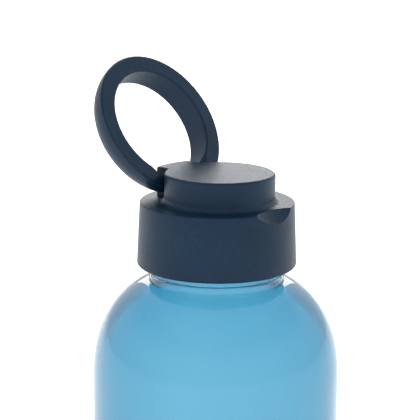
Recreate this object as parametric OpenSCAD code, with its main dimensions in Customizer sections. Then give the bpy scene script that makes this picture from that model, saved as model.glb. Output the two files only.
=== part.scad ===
// Drinking bottle with a screw lid and a folding carry ring.
// Millimetres. Origin at the middle of the foot, +Z up, thumb notch to -Y, ring hinge to +Y.

/* [Bottle] */
// Outside diameter of the body
body_d = 70; // [66:0.5:76]
// Height from the foot to the top of the closed lid
total_h = 185; // [150:1:240]
// Thickness of the body wall
wall = 2.5; // [2.2:0.1:2.8]
// Radius of the rounded corner round the foot
foot_round = 9; // [7:0.5:11]
// Height that the middle of the base is pushed up
punt_h = 3.5; // [2:0.5:5]
// Height of the curved shoulder
shoulder_h = 29.6; // [26:0.1:34]

/* [Neck] */
// Outside diameter of the plain collar under the lid
collar_d = 37; // [36.6:0.1:37.4]
// Height of the collar that shows under the lid
collar_h = 4.4; // [3.6:0.1:6]
// Outside diameter of the threaded neck, without its thread
neck_d = 35.2; // [35:0.1:35.4]
// Diameter of the mouth
mouth_d = 31.2; // [30.8:0.1:31.6]

/* [Thread] */
// Rise of the thread in one turn
pitch = 4.2; // [3.9:0.1:4.6]
// Turns of thread on the neck and in the lid
thread_turns = 1.5; // [1.25:0.25:1.5]
// How far a thread stands out of its wall
thread_depth = 1.3; // [1.1:0.05:1.35]

/* [Lid] */
// Outside diameter of the lid at its lower edge
lid_d = 44.9; // [44.5:0.1:46]
// Outside diameter of the lid at its flat deck
deck_d = 43.4; // [43:0.1:44.4]
// Height of the lid below its deck
skirt_h = 17.9; // [17.5:0.1:20]
// Diameter of the raised knob
knob_d = 31; // [30.4:0.1:31.2]
// Distance that the knob stands forward of the middle of the lid
knob_forward = 0.9; // [0.6:0.05:1]
// Height of the knob above the deck
knob_h = 8.3; // [8.2:0.05:9]
// Thickness of the lid at its deck
deck_wall = 2.3; // [2:0.1:2.8]
// Depth of the thumb notch, measured along the deck
notch_depth = 3.6; // [3:0.1:3.6]

/* [Carry ring] */
// Outside diameter of the ring at its underside
ring_d = 42.8; // [42.4:0.1:43]
// Inside diameter of the ring
ring_bore = 32.8; // [32.6:0.05:33]
// Thickness of the ring
ring_t = 8; // [7.6:0.1:8.1]
// Angle from lying folded round the knob to standing open against its stop
open_angle = 123.4; // [118:0.1:126]
// Distance of the hinge behind the middle of the lid
hinge_back = 15.35; // [15.2:0.05:15.45]
// Height of the hinge above the deck
hinge_up = 4.11; // [4.06:0.05:4.16]
// Diameter of the two stub pins
pin_d = 2.8; // [2.4:0.1:3]

/* [Hidden] */

// levels up the bottle
deck_z = total_h - knob_h;
skirt_z = deck_z - skirt_h;
collar_z = skirt_z - collar_h;
side_z = collar_z - shoulder_h;
ceiling_z = deck_z - deck_wall;
seal_t = 1.5;
seal_top_z = ceiling_z - 0.1;
seal_z = seal_top_z - seal_t;
rim_z = seal_z - 0.15;

// bottle
body_r = body_d / 2;
collar_r = collar_d / 2;
neck_r = neck_d / 2;
mouth_r = mouth_d / 2;
foot_r = body_r - foot_round;
punt_r = foot_r - 2;
// shape of the shoulder curve: 1 and 1 would be a plain quarter ellipse
round_out = 1.37;
round_up = 0.78;
collar_top_z = skirt_z + 0.9;
bead_z = collar_z + 2.7;
bead_r = 1.2;
bead_out = 0.15;
bead_angle = acos(1 - bead_out / bead_r);
// fillets where the shoulder turns up into the neck, and the angle at which each one meets it
fillet_out = 1.2;
fillet_in = 3;
fillet_angle = 250;
// height from the end of the inner shoulder curve up to that of the outer one
inner_drop = 1.8;
rim_round = 0.5;

// thread
thread_root_w = 2;
thread_crest_w = 1;
thread_gap = 0.35;
thread_z = skirt_z + 4.6;
// drop from the middle of the neck's thread to the middle of the lid's thread
thread_drop = 1.75;
lead_in = 40;
lid_thread_from = -90;
ribs_per_turn = 12;
rib_angle = 22;
thread_steps = 40;
root_sink = 0.35;

// lid
lid_r = lid_d / 2;
deck_r = deck_d / 2;
knob_r = knob_d / 2;
lid_bore_r = neck_r + thread_depth + thread_gap;
skirt_round = 0.7;
deck_round = 0.3;
knob_fillet = 1.5;
knob_round = 0.8;
core_r = 13.2;
top_wall = 2.4;
notch_drop = 3;
notch_half_w = 7.4;
notch_sag = 1.55;
// 0.5 would be half an ellipse; more makes the ends of the notch more pointed
notch_shape = 0.7;

// hinge block behind the knob
block_w = 12;
block_r = hinge_back + 3.1;
block_round = 0.6;
pin_gap = 0.06;
bore_depth = 3.6;
pin_r = pin_d / 2;

// liner
liner_r = mouth_r - 0.5;
liner_drop = 6;
liner_t = 1.6;
spigot_r = core_r - 0.1;
spigot_h = 4;

// carry ring, as it lies folded
ring_r = ring_d / 2;
ring_bore_r = ring_bore / 2;
ring_z = deck_z + 0.1;
hinge_z = deck_z + hinge_up;
crown_r = ring_bore_r + 1;
ring_lip = 0.5;
// 1 would be a quarter ellipse; more makes the outer side straighter
ring_taper = 1.44;
ring_chamfer = 0.5;
ring_edge = 0.4;
lug_x = 7.4;
// length of the stub pins, which stop short of the ends of their bores
pin_reach = lug_x - block_w / 2 + bore_depth - 0.3;
clear = 0.2;
cam_r = hinge_up - clear;
// turns the knob's seam away from the ring's edges
seam_turn = 37;

function arc(x, z, r, from, to, n) =
    [for (i = [0:n]) let (a = from + (to - from) * i / n) [x + r * cos(a), z + r * sin(a)]];

function reversed(list) = [for (i = [len(list) - 1:-1:0]) list[i]];

// the angle at which the shoulder's curve has come in to radius r
function shoulder_angle(r, r_side, r_top) = acos(pow((r - r_top) / (r_side - r_top), 1 / round_out));

// the shoulder, from the straight side up to its fillet into the neck, and then the fillet itself
function shoulder(r_side, r_top, z_low, z_high, fillet, n) =
    let (fillet_r = r_top + fillet * (1 + cos(fillet_angle)),
         last = shoulder_angle(fillet_r, r_side, r_top),
         fillet_z = z_low + (z_high - z_low) * pow(sin(last), round_up) - fillet * sin(fillet_angle))
    concat(
        [for (i = [0:n]) let (a = last * i / n)
            [r_top + (r_side - r_top) * pow(cos(a), round_out),
             z_low + (z_high - z_low) * pow(sin(a), round_up)]],
        arc(r_top + fillet, fillet_z, fillet, fillet_angle - 14, 180, 5));

// the pushed-up base, from the axis out to where it meets the foot
function punt(z, n) =
    [for (i = [0:n]) [punt_r * i / n, z + punt_h * (1 + cos(180 * i / n)) / 2]];

body_outside = concat(
    punt(0, 10),
    arc(foot_r, foot_round, foot_round, -90, 0, 8),
    shoulder(body_r, collar_r, side_z, collar_z, fillet_out, 18),
    arc(collar_r + bead_out - bead_r, bead_z, bead_r, -bead_angle, bead_angle, 4),
    [[collar_r, collar_top_z], [neck_r, collar_top_z + 0.6]],
    arc(neck_r - rim_round, rim_z - rim_round, rim_round, 0, 90, 4));

body_inside = concat(
    punt(wall, 10),
    arc(foot_r, foot_round, foot_round - wall, -90, 0, 8),
    shoulder(body_r - wall, mouth_r, side_z, collar_z - inner_drop, fillet_in, 18),
    arc(mouth_r + rim_round, rim_z - rim_round, rim_round, 180, 90, 4));

// The neck's helical ridge: its root is sunk in the wall and it fades in and out at its ends.
module neck_thread() {
    n = round(thread_steps * thread_turns);
    sunk_r = neck_r - root_sink;
    rings = [for (i = [0:n])
        let (a = 360 * thread_turns * i / n,
             fade = min(1, (a + 4) / lead_in, (360 * thread_turns - a + 4) / lead_in),
             tip_r = neck_r + thread_depth * fade,
             mid = thread_z + pitch * a / 360)
        [for (p = [[sunk_r, -thread_root_w / 2], [tip_r, -thread_crest_w / 2],
                   [tip_r, thread_crest_w / 2], [sunk_r, thread_root_w / 2]])
            [p[0] * cos(a), p[0] * sin(a), mid + p[1]]]];
    points = [for (ring = rings) each ring];
    sides = [for (i = [0:n - 1]) for (k = [0:3])
        let (a = 4 * i + k, b = 4 * i + (k + 1) % 4)
        each [[a, a + 4, b], [b, a + 4, b + 4]]];
    ends = [[0, 1, 2, 3], [4 * n + 3, 4 * n + 2, 4 * n + 1, 4 * n]];
    polyhedron(points, concat(sides, ends));
}

// The lid's interrupted thread: short ribs that climb round the bore, just under the neck's ridge.
module lid_thread() {
    step = 360 / ribs_per_turn;
    for (i = [0:ribs_per_turn * thread_turns - 1]) {
        mid_a = lid_thread_from + step * (i + 0.5);
        translate([0, 0, thread_z - thread_drop + pitch * mid_a / 360]) rotate(mid_a - rib_angle / 2)
            rotate_extrude(angle = rib_angle, $fn = 120) polygon([
                [lid_bore_r + root_sink, -thread_root_w / 2],
                [neck_r + thread_gap, -thread_crest_w / 2],
                [neck_r + thread_gap, thread_crest_w / 2],
                [lid_bore_r + root_sink, thread_root_w / 2]]);
    }
}

module bottle_body() {
    color([0.35, 0.68, 0.86, 0.5]) union() {
        rotate_extrude($fn = 120) polygon(concat(body_outside, reversed(body_inside)));
        neck_thread();
    }
}

module seal_ring() {
    edge = 0.3;
    inner_r = liner_r + 0.15;
    outer_r = neck_r + 0.9;
    color("gainsboro") rotate_extrude($fn = 90) polygon(concat(
        arc(inner_r + edge, seal_z + edge, edge, 180, 270, 3),
        arc(outer_r - edge, seal_z + edge, edge, -90, 0, 3),
        arc(outer_r - edge, seal_top_z - edge, edge, 0, 90, 3),
        arc(inner_r + edge, seal_top_z - edge, edge, 90, 180, 3)));
}

module lid_outside() {
    rotate_extrude($fn = 120) polygon(concat(
        [[0, skirt_z]],
        arc(lid_r - skirt_round, skirt_z + skirt_round, skirt_round, -90, 0, 5),
        arc(deck_r - deck_round, deck_z - deck_round, deck_round, 0, 90, 3),
        [[0, deck_z]]));
    translate([0, -knob_forward, 0]) rotate_extrude($fn = 120) polygon(concat(
        [[0, deck_z - 1], [knob_r + knob_fillet, deck_z - 1]],
        arc(knob_r + knob_fillet, deck_z + knob_fillet, knob_fillet, 270, 180, 6),
        arc(knob_r - knob_round, total_h - knob_round, knob_round, 0, 90, 5),
        [[0, total_h]]));
}

// straight sides and a round back, which follows the lid's own round edge
module hinge_block() {
    intersection() {
        rotate(seam_turn) rotate_extrude($fn = 120) polygon(concat(
            [[0, deck_z - 1], [block_r, deck_z - 1]],
            arc(block_r - block_round, total_h - block_round, block_round, 0, 90, 4),
            [[0, total_h]]));
        translate([-block_w / 2, 0, deck_z - 1]) cube([block_w, block_r + 1, knob_h + 2]);
    }
}

module lid_cavity() {
    rotate_extrude($fn = 120) polygon([
        [0, skirt_z - 1], [lid_bore_r + 0.8, skirt_z - 1], [lid_bore_r + 0.8, skirt_z],
        [lid_bore_r, skirt_z + 0.8], [lid_bore_r, ceiling_z], [core_r, ceiling_z],
        [core_r, total_h - top_wall], [0, total_h - top_wall]]);
}

// A bowl-shaped cutter that leans outwards takes a lens-shaped scoop off the deck's edge.
module thumb_notch() {
    lean = atan2(notch_drop, notch_depth);
    mid_r = deck_r - notch_depth / 2;
    steps = 16;
    bowl = [for (i = [-steps:steps]) let (share = i / steps)
        [notch_half_w * share, notch_sag * (1 - pow(1 - share * share, notch_shape))]];
    intersection() {
        translate([0, -mid_r, deck_z - notch_drop / 2]) rotate([lean + 90, 0, 0])
            linear_extrude(30, center = true)
                polygon(concat(bowl, [[notch_half_w, 15], [-notch_half_w, 15]]));
        translate([-15, -30, skirt_z]) cube([30, 20, skirt_h + 0.1]);
    }
}

module pin_bores() {
    for (side = [-1, 1])
        translate([side * (block_w / 2 - bore_depth), hinge_back, hinge_z])
            rotate([0, side * 90, 0]) cylinder(r = pin_r + pin_gap, h = bore_depth + 4, $fn = 48);
}

module lid_shell() {
    color([0.13, 0.21, 0.31]) union() {
        difference() {
            union() {
                lid_outside();
                hinge_block();
            }
            lid_cavity();
            thumb_notch();
            pin_bores();
        }
        lid_thread();
    }
}

module lid_liner() {
    low = ceiling_z - liner_drop;
    color("whitesmoke") rotate_extrude($fn = 90) polygon([
        [0, low], [liner_r - 0.8, low], [liner_r, low + 0.8], [liner_r, ceiling_z],
        [spigot_r, ceiling_z], [spigot_r, ceiling_z + spigot_h],
        [spigot_r - liner_t, ceiling_z + spigot_h], [spigot_r - liner_t, low + liner_t],
        [0, low + liner_t]]);
}

// section of the ring: flat underside, chamfered inside, outer side leaning in to a narrow crown
ring_section = concat(
    [[ring_bore_r + ring_chamfer, 0], [ring_r - ring_edge, 0], [ring_r, ring_edge]],
    [for (i = [0:9]) let (a = 10 * i)
        [crown_r + (ring_r - crown_r) * pow(cos(a), ring_taper),
         ring_lip + (ring_t - ring_lip) * sin(a)]],
    [[crown_r - 0.3, ring_t], [ring_bore_r + ring_edge, ring_t],
     [ring_bore_r, ring_t - ring_edge], [ring_bore_r, ring_chamfer]]);

// turns its children about the hinge; a positive angle is the way that the ring folds down
module about_hinge(angle) {
    translate([0, hinge_back, hinge_z]) rotate([angle, 0, 0])
        translate([0, -hinge_back, -hinge_z]) children();
}

// all that the knob takes up as it passes the ring, seen from the ring
module knob_sweep() {
    reach_r = knob_r + clear;
    translate([0, hinge_back, hinge_z]) rotate([0, 90, 0]) rotate([0, 0, -90])
        rotate_extrude(angle = open_angle, $fn = 160) difference() {
            translate([hinge_back + knob_forward, 0]) circle(r = reach_r, $fn = 160);
            translate([-reach_r, -reach_r]) square([reach_r, 2 * reach_r]);
        }
}

module knob_space() {
    translate([0, -knob_forward, deck_z - 1]) rotate(seam_turn)
        cylinder(r = knob_r + clear, h = knob_h + 2, $fn = 120);
}

// the deck as it passes under the hinge: only a round of cam_r clears it
module deck_sweep() {
    far = 14;
    stop = open_angle - 90;
    translate([-20, hinge_back, hinge_z]) rotate([90, 0, 90]) linear_extrude(40) difference() {
        polygon([[0, 0], [0, -far], [far, -far], [far, far * tan(stop)]]);
        circle(r = cam_r, $fn = 96);
    }
}

module deck_space() {
    translate([-30, -40, deck_z + clear - 20]) cube([60, 80, 20]);
}

// the ring with a gap at the back for the hinge block
module gapped_ring() {
    difference() {
        translate([0, -knob_forward, ring_z]) rotate_extrude($fn = 120) polygon(ring_section);
        translate([-lug_x, 0, deck_z - 1]) cube([2 * lug_x, 30, ring_t + 4]);
    }
}

module folded_ring() {
    difference() {
        gapped_ring();
        knob_sweep();
        deck_sweep();
        about_hinge(open_angle) {
            knob_space();
            deck_space();
        }
    }
    for (side = [-1, 1])
        translate([side * (lug_x + 1), hinge_back, hinge_z]) rotate([0, -side * 90, 0])
            cylinder(r = pin_r, h = pin_reach + 1, $fn = 48);
}

module carry_ring() {
    color([0.14, 0.23, 0.33]) about_hinge(-open_angle) folded_ring();
}

bottle_body();
seal_ring();
lid_shell();
lid_liner();
carry_ring();
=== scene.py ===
"""A tinted clear drinking bottle with a navy screw lid and a hinged carry ring.

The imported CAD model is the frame. Lengths named here are millimetres until mm() turns them into metres.
"""
import math

import bmesh
import bpy
from mathutils import Matrix, Vector


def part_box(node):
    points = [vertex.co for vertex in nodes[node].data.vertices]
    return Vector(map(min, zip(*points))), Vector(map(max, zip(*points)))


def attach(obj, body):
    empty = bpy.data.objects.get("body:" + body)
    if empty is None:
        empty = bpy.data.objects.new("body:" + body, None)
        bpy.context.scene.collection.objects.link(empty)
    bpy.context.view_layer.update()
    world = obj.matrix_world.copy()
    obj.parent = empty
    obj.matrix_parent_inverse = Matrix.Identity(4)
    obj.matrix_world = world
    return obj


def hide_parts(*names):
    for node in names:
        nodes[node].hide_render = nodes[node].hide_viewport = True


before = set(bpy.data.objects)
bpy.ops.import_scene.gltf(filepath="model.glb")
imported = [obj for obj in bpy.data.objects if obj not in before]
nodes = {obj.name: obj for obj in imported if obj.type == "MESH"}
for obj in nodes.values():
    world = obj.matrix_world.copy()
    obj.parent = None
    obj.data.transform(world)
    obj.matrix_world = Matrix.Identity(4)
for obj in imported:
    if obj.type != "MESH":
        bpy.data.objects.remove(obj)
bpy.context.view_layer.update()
scene = bpy.context.scene


def mm(value):
    return value / 1000


# ---------------------------------------------------------------- sizes from the frame
bottle_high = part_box("bottle_body")[1]
lid_low, lid_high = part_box("lid_shell")
BODY_R = bottle_high.x
RIM_Z = bottle_high.z
SKIRT_Z = lid_low.z
KNOB_TOP = lid_high.z
KNOB_H = mm(8.3)
DECK_Z = KNOB_TOP - KNOB_H
COLLAR_H = mm(4.4)
SHOULDER_H = mm(29.6)
COLLAR_Z = SKIRT_Z - COLLAR_H
SIDE_Z = COLLAR_Z - SHOULDER_H

WALL = mm(2.5)
FOOT_ROUND = mm(9)
PUNT_H = mm(3.5)
PUNT_R = BODY_R - FOOT_ROUND - mm(2)
COLLAR_R = mm(18.5)
NECK_R = mm(17.6)
MOUTH_R = mm(15.6)
BEAD_R = mm(1.2)
BEAD_OUT = mm(0.15)
BEAD_Z = COLLAR_Z + mm(2.7)
COLLAR_TOP_Z = SKIRT_Z + mm(0.9)
FILLET_OUT = mm(1.2)
FILLET_IN = mm(3)
FILLET_ANGLE = 250
INNER_DROP = mm(1.8)
RIM_ROUND = mm(0.5)
# shape of the shoulder curve: 1 and 1 would be a plain quarter ellipse
ROUND_OUT = 1.37
ROUND_UP = 0.78

THREAD_PITCH = mm(4.2)
THREAD_TURNS = 1.5
THREAD_DEPTH = mm(1.3)
THREAD_Z = SKIRT_Z + mm(4.6)
THREAD_ROOT = mm(1.0)
THREAD_CREST = mm(0.5)
# share of a turn over which the thread fades in and out at its ends
THREAD_FADE = 0.11

# how finely the bottle is divided
AROUND = 192
PUNT_STEPS = 20
FOOT_STEPS = 16
SHOULDER_STEPS = 56
NECK_STEPS = 64

# facets of the CAD nodes that meet at a smaller angle are shaded as one smooth surface
SHARP_ANGLE = math.radians(28)

# ---------------------------------------------------------------- camera
CAMERA_AZIMUTH = math.radians(-49)
CAMERA_PITCH = math.radians(13.01)
CAMERA_ROLL = math.radians(0.51)
CAMERA_AWAY = mm(409.2)
CAMERA_ASIDE = mm(-2.0)
CAMERA_ABOVE_DECK = mm(91.9)
CAMERA_LENS = 128.6


def make_camera():
    """The picture's view: from the front left, a little above the lid."""
    away = Vector((math.sin(CAMERA_AZIMUTH), -math.cos(CAMERA_AZIMUTH), 0))
    across = Vector((math.cos(CAMERA_AZIMUTH), math.sin(CAMERA_AZIMUTH), 0))
    up = Vector((0, 0, 1))
    ahead = -away * math.cos(CAMERA_PITCH) - up * math.sin(CAMERA_PITCH)
    level_up = -away * math.sin(CAMERA_PITCH) + up * math.cos(CAMERA_PITCH)
    right = across * math.cos(CAMERA_ROLL) + level_up * math.sin(CAMERA_ROLL)
    top = level_up * math.cos(CAMERA_ROLL) - across * math.sin(CAMERA_ROLL)
    data = bpy.data.cameras.new("camera")
    data.lens = CAMERA_LENS
    data.sensor_width = 36
    data.clip_start = 0.01
    data.clip_end = 20
    camera = bpy.data.objects.new("camera", data)
    scene.collection.objects.link(camera)
    axes = Matrix((right, top, -ahead)).transposed().to_4x4()
    place = away * CAMERA_AWAY + across * CAMERA_ASIDE + up * (DECK_Z + CAMERA_ABOVE_DECK)
    camera.matrix_world = Matrix.Translation(place) @ axes
    scene.camera = camera


make_camera()


# ---------------------------------------------------------------- node helpers
class Nodes:
    """Short names for the shader nodes that the materials here use."""

    def __init__(self, name):
        self.material = bpy.data.materials.new(name)
        self.material.use_nodes = True
        self.tree = self.material.node_tree
        self.shader = self.tree.nodes["Principled BSDF"]
        self.output = self.tree.nodes["Material Output"]
        place = self.tree.nodes.new("ShaderNodeTexCoord")
        self.place = place.outputs["Object"]

    def add(self, kind, **inputs):
        node = self.tree.nodes.new(kind)
        for key, value in inputs.items():
            self.put(node, key.replace("_", " "), value)
        return node

    def put(self, node, key, value):
        socket = node.inputs[key]
        if isinstance(value, bpy.types.NodeSocket):
            self.tree.links.new(value, socket)
        else:
            socket.default_value = value

    def stretched(self, scale):
        node = self.add("ShaderNodeMapping")
        self.put(node, "Vector", self.place)
        self.put(node, "Scale", scale)
        return node.outputs["Vector"]

    def noise(self, scale, detail=2, roughness=0.5, vector=None):
        node = self.add("ShaderNodeTexNoise", Scale=scale, Detail=detail, Roughness=roughness)
        self.put(node, "Vector", vector or self.place)
        return node.outputs["Fac"]

    def spread(self, value, low, high, to_low, to_high):
        node = self.add("ShaderNodeMapRange")
        for key, number in (("Value", value), ("From Min", low), ("From Max", high),
                            ("To Min", to_low), ("To Max", to_high)):
            self.put(node, key, number)
        return node.outputs["Result"]

    def blend(self, share, first, second):
        node = self.tree.nodes.new("ShaderNodeMix")
        node.data_type = "RGBA"
        self.tree.links.new(share, node.inputs["Factor"])
        node.inputs[6].default_value = (*first, 1)
        node.inputs[7].default_value = (*second, 1)
        return node.outputs[2]

    def bump(self, height, strength, distance, under=None):
        node = self.add("ShaderNodeBump", Strength=strength, Distance=distance, Height=height)
        if under is not None:
            self.put(node, "Normal", under)
        return node.outputs["Normal"]


# ---------------------------------------------------------------- materials
TINT_DEEP = (0.78, 0.92, 0.96)
TINT_LIGHT = (0.84, 0.95, 0.975)
TINT_DEPTH = (0.08, 0.54, 0.68, 1)
NAVY_DEEP = (0.001, 0.014, 0.035)
NAVY_LIGHT = (0.004, 0.028, 0.064)
MILKY_DEEP = (0.68, 0.70, 0.71)
MILKY_LIGHT = (0.80, 0.82, 0.83)
NATURAL_DEEP = (0.72, 0.73, 0.72)
NATURAL_LIGHT = (0.80, 0.81, 0.80)
GRAIN_DEPTH = mm(0.08)
RIPPLE_DEPTH = mm(0.7)


def moulded_plastic(name):
    """Matte navy plastic with the fine spark-eroded grain of its mould and a little handling polish."""
    m = Nodes(name)
    speckle = m.noise(1500, detail=4, roughness=0.75)
    flow = m.noise(70, detail=3)
    mottle = m.add("ShaderNodeMath")
    m.put(mottle, 0, m.spread(flow, 0.3, 0.7, 0, 0.45))
    m.put(mottle, 1, m.spread(speckle, 0.38, 0.62, 0, 0.55))
    m.put(m.shader, "Base Color", m.blend(mottle.outputs["Value"], NAVY_DEEP, NAVY_LIGHT))
    m.put(m.shader, "Roughness", m.spread(speckle, 0.3, 0.7, 0.34, 0.50))
    fine = m.bump(speckle, 1, GRAIN_DEPTH)
    m.put(m.shader, "Normal", m.bump(m.noise(900, detail=2), 0.6, GRAIN_DEPTH, fine))
    m.shader.inputs["IOR"].default_value = 1.3
    return m.material


def tinted_clear(name):
    """Clear copolyester: the blue is in its faces and in the depth of wall that light passes through."""
    m = Nodes(name)
    wave = m.noise(1, detail=2, vector=m.stretched((22, 22, 9)))
    haze = m.noise(420, detail=4)
    m.put(m.shader, "Base Color", m.blend(m.spread(wave, 0.35, 0.65, 0, 1), TINT_DEEP, TINT_LIGHT))
    m.put(m.shader, "Roughness", m.spread(haze, 0.35, 0.75, 0.0, 0.035))
    m.put(m.shader, "Normal", m.bump(wave, 1, RIPPLE_DEPTH))
    m.shader.inputs["Transmission Weight"].default_value = 1
    m.shader.inputs["IOR"].default_value = 1.5
    depth = m.add("ShaderNodeVolumeAbsorption")
    depth.inputs["Color"].default_value = TINT_DEPTH
    depth.inputs["Density"].default_value = 440
    m.tree.links.new(depth.outputs["Volume"], m.output.inputs["Volume"])
    return m.material


def silicone(name):
    """Milky silicone with faint dust and mould mottling."""
    m = Nodes(name)
    cloud = m.noise(300, detail=3)
    m.put(m.shader, "Base Color", m.blend(cloud, MILKY_DEEP, MILKY_LIGHT))
    m.put(m.shader, "Roughness", m.spread(cloud, 0.3, 0.7, 0.38, 0.55))
    m.put(m.shader, "Normal", m.bump(m.noise(1500), 0.2, mm(0.02)))
    m.shader.inputs["Subsurface Weight"].default_value = 0.3
    m.shader.inputs["Subsurface Radius"].default_value = (0.004, 0.004, 0.004)
    return m.material


def plain_polymer(name):
    """Natural polypropylene of the liner: off-white, smooth, with faint turning marks of the mould."""
    m = Nodes(name)
    cloud = m.noise(160, detail=3)
    marks = m.noise(1, detail=2, vector=m.stretched((40, 40, 2500)))
    m.put(m.shader, "Base Color", m.blend(cloud, NATURAL_DEEP, NATURAL_LIGHT))
    m.put(m.shader, "Roughness", m.spread(cloud, 0.3, 0.7, 0.28, 0.42))
    m.put(m.shader, "Normal", m.bump(marks, 0.15, mm(0.03)))
    return m.material


# ---------------------------------------------------------------- shapes
def arc(centre, radius, start, stop, steps):
    """Points (radius, height) round a centre, from start to stop in degrees."""
    points = []
    for i in range(steps + 1):
        a = math.radians(start + (stop - start) * i / steps)
        points.append((centre[0] + radius * math.cos(a), centre[1] + radius * math.sin(a)))
    return points


def shoulder(side_r, top_r, low, high, fillet):
    """The shoulder's curve, then the fillet that turns it up into the neck."""
    meet = math.radians(FILLET_ANGLE)
    share = fillet * (1 + math.cos(meet)) / (side_r - top_r)
    last = math.acos(share ** (1 / ROUND_OUT))
    points = []
    for i in range(SHOULDER_STEPS + 1):
        a = last * i / SHOULDER_STEPS
        out = math.cos(a) ** ROUND_OUT
        points.append((top_r + (side_r - top_r) * out, low + (high - low) * math.sin(a) ** ROUND_UP))
    centre = (top_r + fillet, points[-1][1] - fillet * math.sin(meet))
    return points + arc(centre, fillet, FILLET_ANGLE - 8, 180, 16)


def punt(lift):
    """The pushed-up base, from the axis out to where it meets the foot."""
    return [(PUNT_R * i / PUNT_STEPS, lift + PUNT_H * (1 + math.cos(math.pi * i / PUNT_STEPS)) / 2)
            for i in range(PUNT_STEPS + 1)]


def straight(low, high, steps):
    """Points between two places, without either of them."""
    return [(low[0] + (high[0] - low[0]) * i / steps, low[1] + (high[1] - low[1]) * i / steps)
            for i in range(1, steps)]


def thread_out(angle, z):
    """How far the neck's helical ridge stands out at an angle in turns and a height."""
    best = 0
    for lap in (0, 1):
        turned = angle + lap
        if turned > THREAD_TURNS:
            continue
        away = abs(z - (THREAD_Z + THREAD_PITCH * turned))
        flank = min(1, max(0, (THREAD_ROOT - away) / (THREAD_ROOT - THREAD_CREST)))
        ends = min(1, turned / THREAD_FADE, (THREAD_TURNS - turned) / THREAD_FADE)
        best = max(best, THREAD_DEPTH * flank * max(0, ends))
    return best


def bottle_outline():
    """The outer profile up and the inner profile down, as lists of (radius, height)."""
    foot = (BODY_R - FOOT_ROUND, FOOT_ROUND)
    outside = punt(0) + arc(foot, FOOT_ROUND, -90, 0, FOOT_STEPS)
    outside += straight(outside[-1], (BODY_R, SIDE_Z), 8)
    outside += shoulder(BODY_R, COLLAR_R, SIDE_Z, COLLAR_Z, FILLET_OUT)
    bead = (COLLAR_R + BEAD_OUT - BEAD_R, BEAD_Z)
    bead_angle = math.degrees(math.acos(1 - BEAD_OUT / BEAD_R))
    outside += arc(bead, BEAD_R, -bead_angle, bead_angle, 10)
    outside += [(COLLAR_R, COLLAR_TOP_Z - mm(0.4)), (COLLAR_R - mm(0.2), COLLAR_TOP_Z)]
    outside += [(NECK_R + mm(0.1), COLLAR_TOP_Z + mm(0.5)), (NECK_R, COLLAR_TOP_Z + mm(0.8))]
    rim = arc((NECK_R - RIM_ROUND, RIM_Z - RIM_ROUND), RIM_ROUND, 0, 90, 6)
    outside += straight(outside[-1], rim[0], NECK_STEPS) + rim
    foot_in = arc(foot, FOOT_ROUND - WALL, -90, 0, FOOT_STEPS)
    inside = punt(WALL) + foot_in
    inside += straight(foot_in[-1], (BODY_R - WALL, SIDE_Z), 8)
    inside += shoulder(BODY_R - WALL, MOUTH_R, SIDE_Z, COLLAR_Z - INNER_DROP, FILLET_IN)
    inside += arc((MOUTH_R + RIM_ROUND, RIM_Z - RIM_ROUND), RIM_ROUND, 180, 90, 6)
    return outside, inside[::-1]


def revolve(name, profile):
    """A closed mesh of revolution, with the thread's ridge added wherever the profile is outside the neck.

    The profile runs from the axis and back to it.
    """
    made = bmesh.new()
    rings = []
    for r, z in profile:
        if r < 1e-7:
            rings.append([made.verts.new((0, 0, z))])
            continue
        ring = []
        for i in range(AROUND):
            turn = i / AROUND
            far = r + (thread_out(turn, z) if r >= NECK_R - mm(0.01) else 0)
            a = 2 * math.pi * turn
            ring.append(made.verts.new((far * math.cos(a), far * math.sin(a), z)))
        rings.append(ring)
    for low, high in zip(rings, rings[1:]):
        for i in range(AROUND):
            j = (i + 1) % AROUND
            corners = [low[i % len(low)], low[j % len(low)], high[j % len(high)], high[i % len(high)]]
            corners = [c for k, c in enumerate(corners) if c not in corners[:k]]
            if len(corners) > 2:
                made.faces.new(corners)
    bmesh.ops.recalc_face_normals(made, faces=made.faces)
    mesh = bpy.data.meshes.new(name)
    made.to_mesh(mesh)
    made.free()
    mesh.polygons.foreach_set("use_smooth", [True] * len(mesh.polygons))
    piece = bpy.data.objects.new(name, mesh)
    scene.collection.objects.link(piece)
    return piece


def make_bottle(material):
    """The visible bottle, smoother than the CAD node that it stands in for."""
    outside, inside = bottle_outline()
    bottle = revolve("bottle", outside + inside)
    bottle.data.materials.append(material)
    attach(bottle, "bottle")
    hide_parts("bottle_body")
    return bottle


def crisp_shading():
    """Geometry nodes that join corners, then shade smooth over facets and sharp over real edges."""
    tree = bpy.data.node_groups.new("crisp shading", "GeometryNodeTree")
    tree.interface.new_socket("Geometry", in_out="INPUT", socket_type="NodeSocketGeometry")
    tree.interface.new_socket("Geometry", in_out="OUTPUT", socket_type="NodeSocketGeometry")
    steps = [tree.nodes.new(kind) for kind in (
        "NodeGroupInput", "GeometryNodeMergeByDistance", "GeometryNodeRemoveAttribute",
        "GeometryNodeSetShadeSmooth", "GeometryNodeSetShadeSmooth", "NodeGroupOutput")]
    for first, second in zip(steps, steps[1:]):
        tree.links.new(first.outputs[0], second.inputs[0])
    joined, cleared, smooth, sharp = steps[1:5]
    joined.inputs["Distance"].default_value = mm(0.002)
    cleared.inputs["Name"].default_value = "custom_normal"
    smooth.domain = "FACE"
    smooth.inputs["Shade Smooth"].default_value = True
    sharp.domain = "EDGE"
    sharp.inputs["Shade Smooth"].default_value = False
    fold = tree.nodes.new("GeometryNodeInputMeshEdgeAngle")
    steep = tree.nodes.new("FunctionNodeCompare")
    steep.operation = "GREATER_THAN"
    steep.inputs["B"].default_value = SHARP_ANGLE
    tree.links.new(fold.outputs["Unsigned Angle"], steep.inputs["A"])
    tree.links.new(steep.outputs["Result"], sharp.inputs["Selection"])
    return tree


crisp = crisp_shading()


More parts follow.
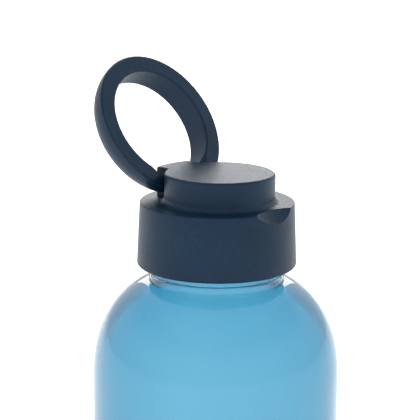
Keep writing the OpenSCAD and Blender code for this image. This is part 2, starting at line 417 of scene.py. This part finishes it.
def finish_node(name, material):
    """Gives a CAD node its material and clean shading; flat faces stay flat beside rounded ones."""
    node = nodes[name]
    node.data.materials.clear()
    node.data.materials.append(material)
    node.modifiers.new("crisp", "NODES").node_group = crisp
    weighted = node.modifiers.new("weighted", "WEIGHTED_NORMAL")
    weighted.keep_sharp = True


make_bottle(tinted_clear("tinted_clear"))
finish_node("lid_shell", moulded_plastic("lid_navy"))
finish_node("carry_ring", moulded_plastic("ring_navy"))
finish_node("lid_liner", plain_polymer("liner_white"))
finish_node("seal_ring", silicone("silicone"))


# ---------------------------------------------------------------- floor and light
def make_floor():
    """A wide pale floor."""
    m = Nodes("floor")
    fleck = m.noise(60, detail=4)
    m.put(m.shader, "Base Color", m.blend(fleck, (0.90, 0.90, 0.90), (0.93, 0.93, 0.93)))
    m.put(m.shader, "Roughness", m.spread(fleck, 0.3, 0.7, 0.6, 0.75))
    m.shader.inputs["Emission Color"].default_value = (1, 1, 1, 1)
    m.shader.inputs["Emission Strength"].default_value = 0.55
    made = bmesh.new()
    bmesh.ops.create_grid(made, x_segments=2, y_segments=2, size=6)
    mesh = bpy.data.meshes.new("floor")
    made.to_mesh(mesh)
    made.free()
    mesh.materials.append(m.material)
    floor = bpy.data.objects.new("floor", mesh)
    scene.collection.objects.link(floor)


def soft_light(name, azimuth, elevation, away, size, power):
    """A square area light aimed at the lid; its azimuth is counted as the camera's."""
    data = bpy.data.lights.new(name, "AREA")
    data.shape = "SQUARE"
    data.size = size
    data.energy = power
    lamp = bpy.data.objects.new(name, data)
    scene.collection.objects.link(lamp)
    a = math.radians(azimuth)
    e = math.radians(elevation)
    aim = Vector((math.sin(a) * math.cos(e), -math.cos(a) * math.cos(e), math.sin(e)))
    lamp.location = Vector((0, 0, DECK_Z)) + aim * away
    lamp.rotation_mode = "QUATERNION"
    lamp.rotation_quaternion = aim.to_track_quat("Z", "Y")


def make_world():
    """A white studio all round, with a dimmer ceiling."""
    world = bpy.data.worlds.new("world")
    world.use_nodes = True
    tree = world.node_tree
    place = tree.nodes.new("ShaderNodeTexCoord")
    split = tree.nodes.new("ShaderNodeSeparateXYZ")
    dim = tree.nodes.new("ShaderNodeMapRange")
    dim.interpolation_type = "SMOOTHSTEP"
    for key, number in (("From Min", 0.40), ("From Max", 0.60), ("To Min", 1.1), ("To Max", 0.75)):
        dim.inputs[key].default_value = number
    background = tree.nodes["Background"]
    background.inputs["Color"].default_value = (1, 1, 1, 1)
    tree.links.new(place.outputs["Generated"], split.inputs["Vector"])
    tree.links.new(split.outputs["Z"], dim.inputs["Value"])
    tree.links.new(dim.outputs["Result"], background.inputs["Strength"])
    scene.world = world


make_floor()
soft_light("back", azimuth=131, elevation=24, away=1.6, size=1.0, power=9)
make_world()
scene.view_settings.view_transform = "Standard"
